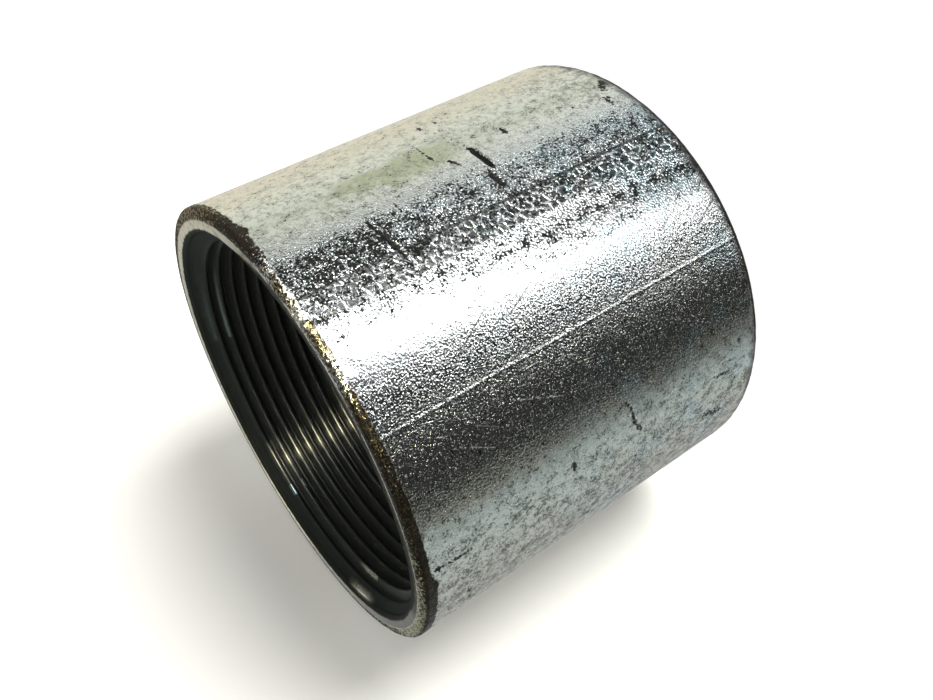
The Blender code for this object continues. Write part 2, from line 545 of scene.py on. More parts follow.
DARK_SCRATCHES: Tuple[Mark, ...] = (
    Mark((-3.2, 20.6), (-0.6, 24.6), 0.16, 0.7, 0.2), Mark((-0.6, 24.6), (2.7, 29.7), 0.14, 0.9, 0.18),
    Mark((-0.8, 33.3), (3.3, 40.8), 0.13, 0.8, 0.18), Mark((-3.0, 80.8), (0.8, 87.5), 0.20, 0.9, 0.25),
    Mark((2.4, 62.9), (1.5, 69.0), 0.12, 0.4, 0.2), Mark((-6.6, 75.1), (-1.6, 83.2), 0.14, 0.5, 0.25),
    Mark((-5.6, 79.7), (-3.1, 85.8), 0.14, 0.5, 0.25), Mark((-4.1, 69.5), (-8.1, 76.1), 0.12, 0.4, 0.2),
    Mark((14.1, 25.5), (10.6, 30.0), 0.14, 0.5, 0.2), Mark((13.1, 18.9), (10.7, 22.9), 0.14, 0.5, 0.2),
    Mark((9.5, 70.0), (7.0, 79.2), 0.14, 0.4, 0.2))

# Bare rubbed patches in the bore, placed where its glints show: partly real rubbing, partly painted glints.
WORN_GLINTS: Tuple[Mark, ...] = (
    Mark((-125.0, 1.35), (-103.0, 1.15), 0.60, 1.0, 0.55), Mark((-124.0, 5.1), (-110.0, 5.0), 0.22, 0.7, 0.30),
    spot(-128.0, 1.5, 0.20, 0.8, 0.25), Mark((104.0, 2.5), (140.0, 2.3), 0.40, 0.40, 0.50),
    Mark((100.0, 5.9), (140.0, 5.7), 0.15, 0.50, 0.30), Mark((-163.0, 3.2), (-160.0, 3.1), 0.45, 0.9, 0.40),
    Mark((-162.5, 6.2), (-160.5, 6.1), 0.40, 0.7, 0.40), Mark((-171.5, 6.0), (-171.5, 30.0), 1.5, 0.28, 1.4))


@dataclass(frozen=True)
class Seam:
    """A low ridge that runs the whole length, or over its reach of depths."""

    angle: float
    width: float
    lift: float
    reach: Pair = (-1.0, 1.0)


@dataclass(frozen=True)
class Gouge:
    """A cut across the wall: its ends as (angle in degrees, depth), its half width and how deep it goes."""

    start: Pair
    end: Pair
    half_width: float
    deep: float


@dataclass
class Sleeve:
    """The coupling's one piece: its mesh and its finishes.

    A crowding is the (place,) width and strength that dense_steps takes.
    """

    form: Form
    columns: int = 408
    bore_columns: int = 120
    wall_rows: int = 126
    corner_rows: int = 10
    plain_rows: int = 3
    rows_a_turn: int = 10
    turns: int = 29
    plain_strip: float = 0.3 * MM
    last_gap: float = 0.1 * MM
    ring_row: float = 0.62
    seam_crowding: Pair = (0.018, 4.0)
    gouge_crowding: Pair = (1.0 * MM, 1.6)
    front_crowding: Tuple[float, float, float] = (0.0, 1.2, 0.9)
    base_relief: float = 0.11 * MM
    corner_relief: float = 0.03 * MM
    least_relief: float = 0.01 * MM
    relief_fade: Pair = (2.2 * MM, 0.3 * MM)
    corner_reach: Pair = (5.0 * MM, 3.2 * MM)
    seam_fade: float = 2.0 * MM
    waves: Ripple = Ripple(0.035 * MM, 9.0 * MM, 3)
    grain: Ripple = Ripple(0.014 * MM, 2.2 * MM, 5)
    lumps: Ripple = Ripple(0.10 * MM, 1.9 * MM, 6)
    wander: Ripple = Ripple(0.10 * MM, 12.0 * MM, 8)
    seams: Tuple[Seam, ...] = (
        Seam(-9.8, 0.26 * MM, 0.09 * MM),
        Seam(14.9, 0.50 * MM, 0.06 * MM),
        Seam(30.2, 0.32 * MM, 0.06 * MM, (28.0 * MM, 66.0 * MM)))
    gouges: Tuple[Gouge, ...] = (
        Gouge((38.2, 48.9 * MM), (30.7, 49.4 * MM), 0.55 * MM, 0.45 * MM),
        Gouge((44.3, 48.4 * MM), (38.2, 48.9 * MM), 0.35 * MM, 0.16 * MM),
        Gouge((28.8, 47.7 * MM), (24.7, 48.0 * MM), 0.60 * MM, 0.24 * MM),
        Gouge((29.7, 20.9 * MM), (22.1, 22.3 * MM), 0.38 * MM, 0.26 * MM),
        Gouge((22.1, 22.3 * MM), (15.6, 22.7 * MM), 0.38 * MM, 0.22 * MM),
        Gouge((-31.3, 51.0 * MM), (-40.8, 53.5 * MM), 0.30 * MM, 0.12 * MM))

    def angles(self) -> np.ndarray:
        """The outside's column angles, denser in front and crowded where the seams run."""
        spots = [(math.radians(seam.angle), *self.seam_crowding) for seam in self.seams]
        return dense_steps(-math.pi, math.pi, self.columns, spots + [self.front_crowding])[:-1]

    def bore_angles(self) -> np.ndarray:
        """The bore's column angles, evenly spread."""
        return np.linspace(-math.pi, math.pi, self.bore_columns + 1)[:-1]

    def outside_profile(self) -> Tuple[np.ndarray, np.ndarray, np.ndarray]:
        """The outside's section from the lower mouth's edge to the upper mouth's edge.

        Each corner is a quarter of an ellipse.

        Returns:
            The radii, the heights, and how far a unit of relief moves each row inwards.
        """
        form = self.form
        mouth = form.recess_outer_radius + form.mouth_width
        quarter = np.linspace(0.0, np.pi / 2.0, self.corner_rows + 1)
        low_w, low_h = form.lower_edge
        top_w, top_h = form.upper_edge
        top = form.length
        spots = [(top - gouge.start[1], *self.gouge_crowding) for gouge in self.gouges]
        wall = dense_steps(low_h, top - top_h, self.wall_rows, spots)[1:-1]
        radius = form.outer_radius
        ring = np.array([0.0, self.ring_row])
        radii = np.concatenate([
            mouth + (radius - low_w - mouth) * ring,
            radius - low_w + low_w * np.sin(quarter),
            np.full(wall.shape, radius),
            radius - top_w + top_w * np.sin(quarter[::-1]),
            mouth + (radius - top_w - mouth) * ring[::-1]])
        heights = np.concatenate([
            np.zeros(2),
            low_h - low_h * np.cos(quarter),
            wall,
            top - top_h + top_h * np.cos(quarter[::-1]),
            np.full(2, top)])
        inner, outer = self.relief_fade
        return radii, heights, smooth_step(radii, radius - inner, radius - outer)

    def relief(self, angle: np.ndarray, height: np.ndarray) -> np.ndarray:
        """How far the outside lies inside its true cylinder.

        It is a slow waviness, a grain, lumps at the two corners, the ridges of the seams and the gouges, each of
        these last two a bell curve across its own line. Nothing stands proud of the true cylinder.

        Args:
            angle: the points' angles.
            height: the points' heights.

        Returns:
            The distance inwards.
        """
        radius = self.form.outer_radius
        place = turned(radius, angle, height)
        relief = self.base_relief + self.waves.at(place) + self.grain.at(place)
        depth = self.form.length - height
        corner = smooth_step(np.minimum(depth, height), *self.corner_reach)
        relief += corner * (self.lumps.at(place) + self.corner_relief)
        along = angle * radius
        wander = self.wander.at(place * [0.0, 0.0, 1.0])
        for seam in self.seams:
            across = (along - math.radians(seam.angle) * radius - wander) / seam.width
            shown = smooth_step(depth, seam.reach[0] - self.seam_fade, seam.reach[0]) * smooth_step(
                depth, seam.reach[1] + self.seam_fade, seam.reach[1])
            relief -= seam.lift * shown * np.exp(-across ** 2)
        for gouge in self.gouges:
            start = np.array([math.radians(gouge.start[0]) * radius, gouge.start[1]])
            end = np.array([math.radians(gouge.end[0]) * radius, gouge.end[1]])
            run = end - start
            length = float(np.hypot(*run))
            offset = np.stack([along - start[0], depth - start[1]], axis=-1)
            along_run = (offset @ run) / length ** 2
            across_run = np.abs(offset[..., 0] * run[1] - offset[..., 1] * run[0]) / length
            inside = smooth_step(along_run, -0.06, 0.10) * smooth_step(along_run, 1.06, 0.90)
            relief += gouge.deep * inside * np.exp(-(across_run / gouge.half_width) ** 2)
        return np.maximum(relief, self.least_relief)

    def stain_field(self, points: np.ndarray) -> np.ndarray:
        """How near each point of the outside is to a stain.

        It is half the stain's strength at its border, and it grows inwards and falls outwards evenly: strength times
        (0.5 + (half width - distance) / reach), where a softer stain reaches further. The greatest one counts.

        Args:
            points: an array of points, with the coordinates along its last axis.

        Returns:
            The field, from 0 up to 1.
        """
        scale = self.form.wall_scale()
        around = np.degrees(np.arctan2(points[..., 0], -points[..., 1])) * scale
        place = np.stack([around, (self.form.length - points[..., 2]) / MM], axis=-1)
        nearness = np.zeros(around.shape)
        for mark in STAINS:
            start = np.array([mark.start[0] * scale, mark.start[1]])
            run = np.array([mark.end[0] * scale, mark.end[1]]) - start
            offset = place - start
            share = np.clip((offset @ run) / max(float(run @ run), 1e-9), 0.0, 1.0)
            gap = np.linalg.norm(offset - share[..., None] * run, axis=-1)
            reach = 1.0 + 2.5 * mark.soft
            nearness = np.maximum(nearness, mark.strength * (0.5 + (mark.half_width - gap) / reach))
        return np.clip(nearness, 0.0, 1.0)

    def outside(self) -> np.ndarray:
        """The outside's points: the section turned about Z, moved inwards by the relief.

        Returns:
            An array of rows by columns by 3.
        """
        radii, heights, share = self.outside_profile()
        angle, height = np.broadcast_arrays(self.angles()[None, :], heights[:, None])
        return turned(radii[:, None] - self.relief(angle, height) * share[:, None], angle, height)

    def mouth_rows(self) -> np.ndarray:
        """(radius, depth) of the circular rows from a mouth's edge down to the spiral."""
        form = self.form
        quarter = np.linspace(0.0, np.pi / 2.0, self.corner_rows + 1)
        rounded = np.stack([
            form.recess_outer_radius + form.mouth_width * (1.0 - np.sin(quarter)),
            form.mouth_depth * (1.0 - np.cos(quarter))], axis=-1)
        depth = np.linspace(form.mouth_depth, self.spiral_start() - self.last_gap, self.plain_rows + 1)[1:]
        plain = np.stack([form.bore_radius(depth, np.zeros_like(depth)), depth], axis=-1)
        return np.concatenate([rounded, plain])

    def spiral_start(self) -> float:
        """The depth at which the spiral rows start: what the whole turns leave over, shared by both ends."""
        wound = (self.turns - 2) * self.form.pitch
        return (self.form.length - wound) / 2.0 - self.plain_strip

    def spiral(self) -> np.ndarray:
        """The bore's spiral rows.

        A row's height grows by one pitch round the sleeve, so row j meets row j plus one turn's rows where the circle
        closes. The first and the last turn are squeezed into a narrow plain strip of the recess. A crest lies a
        quarter turn on from the camera's side at the depth that the part's source sets.

        Returns:
            An array of rows by columns by 3, from the lower end up.
        """
        form = self.form
        count = self.rows_a_turn * (self.turns - 1) + 1
        angle = self.bore_angles()[None, :]
        turn = np.arange(count)[:, None] / self.rows_a_turn + (angle + math.pi) / (2.0 * math.pi)
        low = self.spiral_start()
        knots = [0.0, 1.0, self.turns - 1.0, float(self.turns)]
        places = [low, low + self.plain_strip, form.length - low - self.plain_strip, form.length - low]
        height = np.interp(turn, knots, places)
        crest = form.length - form.first_crest_depth + form.pitch * (angle / (2.0 * math.pi) - 0.25)
        phase = (height - crest) / form.pitch
        depth = np.minimum(height, form.length - height)
        return turned(form.bore_radius(depth, phase), angle, height)

    def mouth(self, lower: bool) -> np.ndarray:
        """One mouth's circular rows from its edge into the bore, rows by columns by 3."""
        radius, depth = np.split(self.mouth_rows(), 2, axis=1)
        return turned(radius, self.bore_angles()[None, :], depth if lower else self.form.length - depth)

    def mesh(self) -> bpy.types.Mesh:
        """The closed mesh: the outside's grid, the two mouths and the spiral, joined row to row."""
        blocks = [self.outside()[1:-1], self.mouth(False), self.spiral(), self.mouth(True)]
        sizes = [block.shape[0] * block.shape[1] for block in blocks]
        starts = np.cumsum([0] + sizes)
        out, top, wound, low = [
            np.arange(size).reshape(block.shape[:2]) + start for block, size, start in zip(blocks, sizes, starts)]
        faces = MeshFaces()
        faces.quads.append(ring_quads(out))
        faces.zip_rings(out[-1], self.angles(), top[0], self.bore_angles(), False)
        faces.quads.append(ring_quads(top))
        faces.wind(wound, self.rows_a_turn, low[-1], top[-1])
        faces.quads.append(ring_quads(low[::-1]))
        faces.zip_rings(out[0], self.angles(), low[0], self.bore_angles(), True)
        mesh = faces.build("coupling_sleeve", np.concatenate([block.reshape(-1, 3) for block in blocks]), sizes[0])
        stain = np.zeros(sum(sizes), dtype=np.float32)
        stain[:sizes[0]] = self.stain_field(blocks[0]).ravel()
        mesh.attributes.new(STAIN_FIELD, "FLOAT", "POINT").data.foreach_set("value", stain)
        return mesh

    def build(self) -> bpy.types.Object:
        """Makes the sleeve and dresses it.

        Returns:
            The finished object.
        """
        item = new_object("coupling_sleeve", self.mesh())
        item.data.materials.append(ZincShader(ZincCoat(), self.form).build())
        item.data.materials.append(MachinedSteel().material(self.form))
        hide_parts(NODE)
        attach(item, BODY)
        return item


class MeshFaces:
    """Gathers quads and triangles as whole arrays, and makes the mesh."""

    def __init__(self) -> None:
        """Starts with no faces."""
        self.quads: List[np.ndarray] = []
        self.triangles: List[np.ndarray] = []

    def zip_rings(
        self, first: np.ndarray, first_angles: np.ndarray, second: np.ndarray, second_angles: np.ndarray, flip: bool
    ) -> None:
        """Joins two closed rings whose columns differ.

        Both start at the same angle. Each step along one ring makes a triangle with the vertex that the other ring
        has reached by then, and at equal angles the first ring steps first.

        Args:
            first: vertex numbers of one ring.
            first_angles: their angles, rising.
            second: vertex numbers of the other ring.
            second_angles: their angles, rising.
            flip: turns the faces over, for the lower end.
        """
        ends = [np.append(angles[1:], angles[0] + 2.0 * np.pi) for angles in (first_angles, second_angles)]
        reached = np.searchsorted(ends[1], ends[0], side="left")
        one = np.stack([first, np.roll(first, -1), np.append(second, second[0])[reached]], axis=-1)
        reached = np.searchsorted(ends[0], ends[1], side="right")
        two = np.stack([np.append(first, first[0])[reached], np.roll(second, -1), second], axis=-1)
        triangles = np.concatenate([one, two])
        self.triangles.append(triangles[:, ::-1] if flip else triangles)

    def wind(self, ids: np.ndarray, step: int, below: np.ndarray, above: np.ndarray) -> None:
        """The spiral's faces, and the strips that join its two ends to circular rows.

        Args:
            ids: vertex numbers of the spiral, rows by columns, from the lower end up.
            step: how many rows make one turn.
            below: the circular row below it.
            above: the circular row above it.
        """
        inner = np.stack([ids[:-1, 1:], ids[:-1, :-1], ids[1:, :-1], ids[1:, 1:]], axis=-1).reshape(-1, 4)
        left, right = ids[:-step, -1], ids[step:, 0]
        closing = np.stack([right[:-1], left[:-1], left[1:], right[1:]], axis=-1)
        low = np.stack([below[1:], below[:-1], ids[0, :-1], ids[0, 1:]], axis=-1)
        high = np.stack([ids[-1, 1:], ids[-1, :-1], above[:-1], above[1:]], axis=-1)
        self.quads += [inner, closing, low, high]
        tip = ids[0, -1]
        chain = np.concatenate([[below[0]], ids[:step + 1, 0]])
        self.triangles.append(np.stack([chain[:-1], np.full(len(chain) - 1, tip), chain[1:]], axis=-1))
        self.triangles.append(np.array([[below[0], below[-1], tip]]))
        tip = ids[-1, 0]
        chain = np.concatenate([ids[-step - 1:, -1], [above[-1]]])
        self.triangles.append(np.stack([np.full(len(chain) - 1, tip), chain[:-1], chain[1:]], axis=-1))
        self.triangles.append(np.array([[tip, above[-1], above[0]]]))

    def build(self, name: str, points: np.ndarray, outside_count: int) -> bpy.types.Mesh:
        """Makes the mesh.

        Args:
            name: the mesh's name.
            points: the vertices.
            outside_count: how many of the first vertices belong to the outside.

        Returns:
            The smooth-shaded mesh, whose faces with every corner on the outside are in the zinc slot.
        """
        quads = np.concatenate(self.quads)
        triangles = np.concatenate(self.triangles)
        mesh = bpy.data.meshes.new(name)
        mesh.vertices.add(len(points))
        mesh.vertices.foreach_set("co", points.astype(np.float32).ravel())
        loops = np.concatenate([quads.ravel(), triangles.ravel()])
        mesh.loops.add(len(loops))
        mesh.loops.foreach_set("vertex_index", loops.astype(np.int32))
        starts = np.concatenate([
            np.arange(len(quads)) * 4, len(quads) * 4 + np.arange(len(triangles)) * 3])
        mesh.polygons.add(len(starts))
        mesh.polygons.foreach_set("loop_start", starts.astype(np.int32))
        outside = np.concatenate([(quads < outside_count).all(axis=1), (triangles < outside_count).all(axis=1)])
        mesh.polygons.foreach_set("material_index", np.where(outside, Slot.ZINC.value, Slot.MACHINED.value).astype(
            np.int32))
        mesh.update(calc_edges=True)
        mesh.validate()
        mesh.shade_smooth()
        return mesh


class WallPlace:
    """Where a shading point lies on the sleeve: degrees round it, millimetres of depth and of radius."""

    def __init__(self, graph: Graph, form: Form) -> None:
        """Works the place out from Object coordinates.

        Args:
            graph: the material's graph.
            form: the sleeve's section.
        """
        self.graph = graph
        self.scale = form.wall_scale()
        self.full_radius = form.outer_radius / MM - 0.1
        self.point = graph.node("ShaderNodeTexCoord").outputs["Object"]
        self.angle, distance, height = graph.round_place(self.point)
        self.depth = (form.length - height) / MM
        self.height = height / MM
        self.radius = distance / MM

    def from_rim(self, depth: Value) -> Value:
        """Millimetres along the section from the outer corner: below 0 on the flat ring, the depth on the wall."""
        return depth + self.radius - self.full_radius

    def by_angle(self, stops: Stops, shift: Optional[Value] = None) -> Value:
        """A grey or colour that changes round the sleeve, with a shift that is added to the angle first."""
        return self.graph.round_ramp(stops, self.angle if shift is None else self.angle + shift)

    def unrolled(self, ragged: float, size: float) -> Value:
        """The wall unrolled into a plane, in millimetres, with a ragged warp.

        Args:
            ragged: how far the warp moves a point, in millimetres.
            size: the warp's size in metres.

        Returns:
            The vector (round the sleeve, depth, 0).
        """
        graph = self.graph
        flat = graph.node("ShaderNodeCombineXYZ", {}, {0: self.angle * self.scale, 1: self.depth})
        noise = graph.noise(self.point, Pattern(size), "Color")
        centred = graph.vector("SUBTRACT", noise, (0.5, 0.5, 0.5))
        reach = (4.0 * ragged, 4.0 * ragged, 0.0)
        return graph.out(graph.vector("MULTIPLY_ADD", centred.outputs[0], reach, flat.outputs[0]))

    def strongest(self, marks: Sequence[Mark], place: object) -> Value:
        """The strongest of several marks' masks."""
        first, *others = (mark.mask(self.graph, place, self.scale) for mark in marks)
        return first.at_least(*others)


@dataclass(frozen=True)
class ZincCoat:
    """The galvanised outside: its colours, its noises, and what changes round the sleeve as (degrees, amount)."""

    # Dark of the stains, also used for the painted shade in the pores and along the bright core's edge.
    stain: Colour = (0.020, 0.021, 0.019)
    bare: Colour = (0.030, 0.026, 0.020)
    gold: Colour = (0.40, 0.34, 0.18)
    # White of the bright scratches, also used for painted glints: the specks beside the bright core and the corner
    # flecks.
    scratch_and_glint_white: Colour = (0.95, 0.95, 0.92)
    patch: Colour = (0.60, 0.65, 0.48)
    blue: Colour = (0.52, 0.68, 0.72)
    olive: Colour = (0.36, 0.39, 0.20)
    shade: Colour = (0.17, 0.19, 0.16)
    clouds: Pattern = Pattern(9.0 * MM, 3.0, 0.6)
    blotches: Pattern = Pattern(2.2 * MM, 4.0, 0.65)
    crumbs: Pattern = Pattern(0.75 * MM, 2.0, 0.6, 0.6)
    grains: Pattern = Pattern(0.40 * MM, 1.0, 0.4)
    peaks: Pattern = Pattern(0.36 * MM, 0.0)
    specks: Pattern = Pattern(0.28 * MM, 0.0)
    pores: Pattern = Pattern(0.42 * MM, 2.0, 0.6)
    breaks: Pattern = Pattern(0.8 * MM)
    corner_edge: Pattern = Pattern(1.6 * MM, 4.0, 0.7)
    flecks: Pattern = Pattern(0.55 * MM, 2.0, 0.7)
    knurl_warp: Pair = (0.30, 1.5 * MM)
    scratch_warp: Pair = (0.06, 1.0 * MM)
    tints: Stops = (
        (-180.0, (0.66, 0.67, 0.62)), (-120.0, (0.60, 0.60, 0.54)), (-62.0, (0.58, 0.60, 0.53)),
        (-46.0, (0.60, 0.66, 0.60)), (-35.0, (0.57, 0.67, 0.63)), (-30.0, (0.52, 0.55, 0.47)),
        (-14.0, (0.57, 0.59, 0.55)), (-6.0, (0.62, 0.66, 0.66)), (12.0, (0.74, 0.76, 0.76)),
        (28.0, (0.62, 0.68, 0.68)), (37.0, (0.72, 0.75, 0.66)), (42.0, (0.60, 0.64, 0.52)),
        (48.0, (0.71, 0.73, 0.61)), (62.0, (0.73, 0.68, 0.48)), (74.0, (0.74, 0.69, 0.50)),
        (120.0, (0.68, 0.69, 0.62)), (180.0, (0.66, 0.67, 0.62)))
    smoothness: Stops = (
        (-180.0, 0.26), (-46.0, 0.28), (-33.0, 0.26), (-24.0, 0.12), (34.0, 0.13), (42.0, 0.28), (60.0, 0.32),
        (180.0, 0.26))
    grain_height: Stops = (
        (-180.0, 0.35), (-120.0, 0.40), (-70.0, 0.25), (-48.0, 0.22), (-34.0, 0.15), (-27.0, 0.45),
        (-12.0, 0.85), (-1.0, 0.62), (3.0, 0.32), (9.0, 0.30), (13.0, 0.80), (14.6, 0.80), (15.0, 0.35),
        (21.0, 0.35), (22.0, 0.95), (29.0, 0.95), (34.0, 0.50), (41.0, 0.30), (48.0, 0.08), (60.0, 0.10),
        (80.0, 0.20), (120.0, 0.40), (180.0, 0.35))
    # Share of dark pores round the sleeve, partly painted shade: least in the bright core.
    pore_and_shade_share: Stops = (
        (-180.0, 0.35), (-100.0, 0.40), (-66.0, 0.62), (-48.0, 0.55), (-38.0, 0.42), (-30.0, 0.34),
        (-8.0, 0.25), (2.0, 0.10), (8.0, 0.05), (11.0, 0.45), (15.0, 0.55), (21.0, 0.75),
        (22.0, 0.60), (29.0, 0.60), (33.0, 0.20), (44.0, 0.20), (60.0, 0.22), (90.0, 0.25),
        (180.0, 0.35))
    mottling: Stops = (
        (-180.0, 0.35), (-78.0, 0.40), (-60.0, 0.60), (-48.0, 0.60), (-34.0, 0.50), (-26.0, 0.0), (30.0, 0.0),
        (36.0, 0.45), (46.0, 0.50), (60.0, 0.38), (90.0, 0.30), (180.0, 0.35))
    # Share of corner flecks round the sleeve: in front they are painted glints where the lamp would be mirrored, low
    # down green specks.
    fleck_and_glint_share: Stops = (
        (-180.0, 0.10), (-100.0, 0.40), (-78.0, 0.80), (-56.0, 0.70), (-44.0, 0.45), (-34.0, 0.30), (-26.0, 0.05),
        (-4.0, 0.20), (2.0, 0.60), (8.0, 0.75), (20.0, 0.75), (25.0, 0.60), (31.0, 0.60), (35.0, 0.35),
        (39.0, 0.05), (50.0, 0.05), (56.0, 0.40), (72.0, 0.55), (110.0, 0.40), (150.0, 0.10), (180.0, 0.10))
    band_reach: Stops = (
        (-180.0, 0.40), (-100.0, 0.40), (-74.0, 0.44), (-56.0, 0.52), (-47.0, 0.62), (-43.0, 0.40), (-24.0, 0.38),
        (-6.0, 0.36), (1.0, 0.29), (22.0, 0.27), (29.0, 0.24), (34.0, 0.36), (41.0, 0.40), (43.6, 0.58),
        (46.5, 0.40), (62.0, 0.37), (180.0, 0.40))


class ZincShader:
    """Builds the zinc coat's material: first what several sockets share, then each socket's own value."""

    def __init__(self, coat: ZincCoat, form: Form) -> None:
        """Starts the material with the noises and masks that its sockets share.

        Args:
            coat: the colours, noises and amounts.
            form: the sleeve's section.
        """
        self.coat = coat
        self.made, self.graph = new_material("zinc_coat")
        self.wall = wall = WallPlace(self.graph, form)
        self.large = self.noise(coat.clouds)
        self.medium = self.noise(coat.blotches)
        self.coarse = self.noise(coat.crumbs)
        self.speck = self.noise(coat.specks)
        self.sway = (self.large - 0.5) * 7.0 + (self.medium - 0.5) * 5.0
        self.strip = wall.angle.rise(14.6, 15.3) * wall.angle.rise(21.6, 21.2)
        self.cells = self.knurls()
        self.rim = self.cells.rise(0.20, 0.02)
        self.scratch_place = wall.unrolled(*coat.scratch_warp)
        self.band = self.corner()
        # Corner flecks: painted glints in front, specks of colour further round.
        self.fleck_and_glint = self.band * (self.noise(coat.flecks) + wall.by_angle(
            coat.fleck_and_glint_share, self.sway * 0.3) * 0.30).rise(0.66, 0.74)
        self.bright = self.shine()
        self.marks_and_shade = self.dark_marks_and_shade()

    def noise(self, pattern: Pattern) -> Value:
        """A noise on the sleeve."""
        return self.graph.noise(self.wall.point, pattern)

    def knurls(self) -> Value:
        """The distance from the borders of the knurled strip's uneven cells, in cell sizes."""
        return self.graph.out(self.graph.node(
            "ShaderNodeTexVoronoi", {"voronoi_dimensions": "2D", "feature": "DISTANCE_TO_EDGE"},
            {"Vector": self.wall.unrolled(*self.coat.knurl_warp), "Scale": 0.60, "Randomness": 1.0}), "Distance")

    def corner(self) -> Value:
        """The bare dark band that the zinc doesn't reach, with a ragged edge at each end of the sleeve.

        Returns:
            1 on the band.
        """
        wall = self.wall
        ragged = (self.noise(self.coat.corner_edge) - 0.5) * 1.6
        reach = wall.by_angle(self.coat.band_reach) * 5.0
        upper = (wall.from_rim(wall.depth) + ragged - reach).rise(0.15, -0.15)
        lower = (wall.from_rim(wall.height) + ragged).rise(2.2, 1.8)
        ring = (wall.from_rim(wall.depth.at_most(wall.height)) + ragged * 0.5).rise(-2.7, -2.3)
        return upper.at_least(lower) * ring

    def shine(self) -> Value:
        """Bright scratches with gaps in them, and painted glints: bright specks on the dark side of the bright core.

        Returns:
            How bright each place is, from 0 to 1.
        """
        angle = self.wall.angle
        scratches = self.wall.strongest(BRIGHT_SCRATCHES, self.scratch_place)
        scratches = scratches * self.noise(self.coat.breaks).rise(0.38, 0.56)
        # Painted glints: white specks on the dark side of the bright core, where its bumps would catch the lamp.
        glint_dots = (self.speck + angle.near(-11.0, 3.0, 4.0) * 0.06).rise(0.60, 0.72)
        return scratches.at_least(glint_dots * angle.near(-20.0, 18.0, 6.0) * 0.5)

    def pores_and_shade(self) -> Value:
        """Dark pores, partly painted shade: their share changes round the sleeve, least in the bright core, and at two
        places along it, where one place adds painted shade to the core further down.

        Returns:
            How dark each place is, from 0 to 1.
        """
        wall = self.wall
        # Painted shade: more dark pores in the bright core further down, narrowing it.
        core_shade = wall.angle.near(7.5, 2.5, 2.5) * wall.depth.rise(8.0, 60.0) * 0.45
        dulled = wall.angle.near(26.5, 3.5, 2.5) * wall.depth.rise(50.0, 8.0) * 0.25
        share = wall.by_angle(self.coat.pore_and_shade_share, self.sway * 0.4) + core_shade + dulled
        mixed = self.noise(self.coat.pores) * 0.60 + self.medium * 0.40
        return (mixed + share * 0.22).rise(0.62, 0.68) * (1.0 - wall.angle.rise(-30.0, -40.0) * 0.3)

    def dark_marks_and_shade(self) -> Value:
        """All that is dark on the zinc.

        It holds the pores, which are partly painted shade, the stains, specks of painted shade along the bright core's
        edge, the dark scratches, the line beside the knurled strip, the strip's cells and the far corner.

        Returns:
            How dark each place is, from 0 to 1.
        """
        wall = self.wall
        nearness = self.graph.out(self.graph.node("ShaderNodeAttribute", {"attribute_name": STAIN_FIELD}), "Fac")
        stains = (nearness + (self.coarse - 0.5) * 0.9).rise(0.42, 0.52)
        # Painted shade: dark specks that thin the bright core's edge near -3 degrees.
        core_edge = wall.angle.near(-3.0, 3.0, 6.0)
        shade_specks = (core_edge * 0.04 - self.speck).rise(-0.41, -0.36) * core_edge
        scratches = wall.strongest(DARK_SCRATCHES, self.scratch_place) * 0.8
        line = wall.angle.near(21.4, 0.15, 0.35) * 0.85
        cell = self.strip * self.cells.rise(0.10, 0.30) * 0.85
        far = (wall.depth + (self.medium - 0.5) * 5.0).rise(85.0, 87.8) * 0.8
        return self.pores_and_shade().at_least(stains, shade_specks, scratches, line, cell, far).at_most(1.0)

    def zinc(self) -> Value:
        """The clean zinc's tints, with blue and olive patches and dark mottling.

        Returns:
            The colour.
        """
        coat, wall, mix = self.coat, self.wall, self.graph.mix
        blue = (self.large.rise(0.42, 0.66) * wall.angle.rise(34.0, 26.0) * wall.depth.rise(20.0, 60.0)) * 0.65
        colour = mix(blue, wall.by_angle(coat.tints, self.sway * 0.6), coat.blue)
        olive = (wall.angle + self.sway * 1.6).near(41.5, 2.6, 3.5) * (
            wall.depth + self.sway * 3.0).near(33.0, 9.0, 8.0) * 0.6
        colour = mix(olive, colour, coat.olive)
        mottled = wall.by_angle(coat.mottling) + wall.angle.near(46.0, 9.0, 5.0) * wall.depth.rise(64.0, 84.0) * 0.3
        return mix((self.medium * 0.5 + self.coarse * 0.5).rise(0.42, 0.62) * mottled, colour, coat.shade)

    def colour(self) -> Value:
        """The zinc with its dark marks and painted shade, its scratches and painted glints, and the bare corner with
        its flecks: white or gold painted glints, gold or green specks.

        Returns:
            The colour.
        """
        coat, wall, mix = self.coat, self.wall, self.graph.mix
        # Stains, dark marks and painted shade take the dark colour here.
        colour = mix(self.marks_and_shade, self.zinc(), coat.stain)
        # Bright scratches and painted glint specks take the white here.
        colour = mix(self.bright, colour, coat.scratch_and_glint_white)
        colour = mix(self.band, colour, coat.bare)
        # Fleck colours: white or gold painted glints in front, gold past 56 degrees, green specks on the lower side.
        gilt = mix(self.large.rise(0.44, 0.60).at_least(wall.angle.rise(42.0, 56.0)), coat.scratch_and_glint_white, coat.gold)
        lower_side = wall.angle.rise(-20.0, -34.0)
        gilt = mix(lower_side, gilt, coat.patch)
        inner = 1.0 - lower_side * wall.from_rim(wall.depth).rise(-0.3, 0.3)
        return mix(self.fleck_and_glint * wall.height.rise(20.0, 30.0) * inner, colour, gilt)

    def roughness(self) -> Value:
        """Smooth zinc with rougher dark marks and painted shade, scratches and painted glints, corner and cell rims,
        and smooth corner flecks.
        """
        return (self.wall.by_angle(self.coat.smoothness) + self.marks_and_shade * 0.20 + self.bright * 0.35
                + self.band * 0.35 - self.fleck_and_glint * 0.25 + self.strip * self.rim * 0.15)

